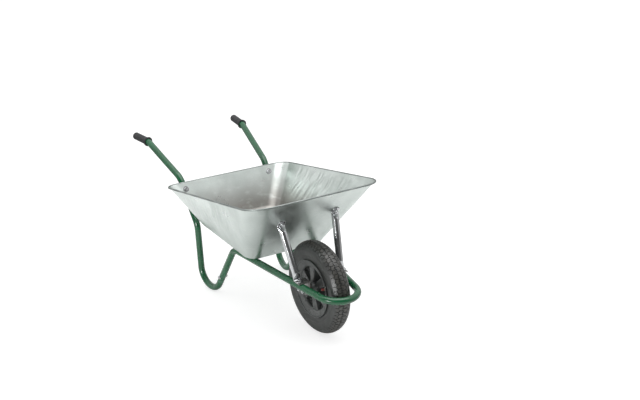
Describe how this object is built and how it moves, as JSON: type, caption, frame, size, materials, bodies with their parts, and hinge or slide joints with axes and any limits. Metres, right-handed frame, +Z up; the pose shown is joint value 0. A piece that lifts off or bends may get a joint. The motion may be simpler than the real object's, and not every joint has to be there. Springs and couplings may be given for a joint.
{
  "type": "wheelbarrow",
  "caption": "Builder's wheelbarrow with a pressed galvanised pan on a bent green tube frame, zinc stays, rubber grips and a pneumatic wheel.",
  "frame": {"origin": "on the ground, under the middle of the barrow's length and width", "axes": "+X forward to the wheel, +Y to the left of the person pushing, +Z up"},
  "size_m": [1.317, 0.5836, 0.5652],
  "materials": {
    "galvanised_steel": "satin",
    "green_paint": "gloss",
    "bright_zinc": "bright",
    "grip_rubber": "matte",
    "black_plastic": "satin",
    "red_plastic": "satin",
    "tyre_rubber": "matte",
    "tube_rubber": "matte",
    "valve_brass": "satin"
  },
  "bodies": {
    "frame": {"pan": "galvanised_steel", "front_frame_tube": "green_paint", "left_handle_tube": "green_paint", "right_handle_tube": "green_paint", "left_grip": "grip_rubber", "right_grip": "grip_rubber", "left_stay": "bright_zinc", "right_stay": "bright_zinc", "left_axle_bracket": "bright_zinc", "right_axle_bracket": "bright_zinc", "axle": "bright_zinc", "axle_spacers": "bright_zinc", "axle_washers": "bright_zinc", "axle_nuts": "bright_zinc", "rear_pan_bolts": "bright_zinc", "rear_pan_washers": "bright_zinc", "rear_pan_nuts": "bright_zinc", "stay_top_bolts": "bright_zinc", "stay_top_washers": "bright_zinc", "stay_top_nuts": "bright_zinc", "stay_foot_bolts": "bright_zinc", "stay_foot_nuts": "bright_zinc", "leg_joint_bolts": "bright_zinc", "leg_joint_nuts": "bright_zinc"},
    "wheel": {"wheel_centre": "black_plastic", "wheel_rim": "black_plastic", "left_wheel_bush": "red_plastic", "right_wheel_bush": "red_plastic", "tyre": "tyre_rubber", "inner_tube": "tube_rubber", "valve_stem": "valve_brass", "valve_cap": "red_plastic"}
  },
  "joints": [
    {"name": "wheel_spin", "type": "hinge", "parent": "frame", "child": "wheel", "pos_m": [0.4449, 0, 0.182], "axis": [0, 1, 0], "continuous": true}
  ]
}
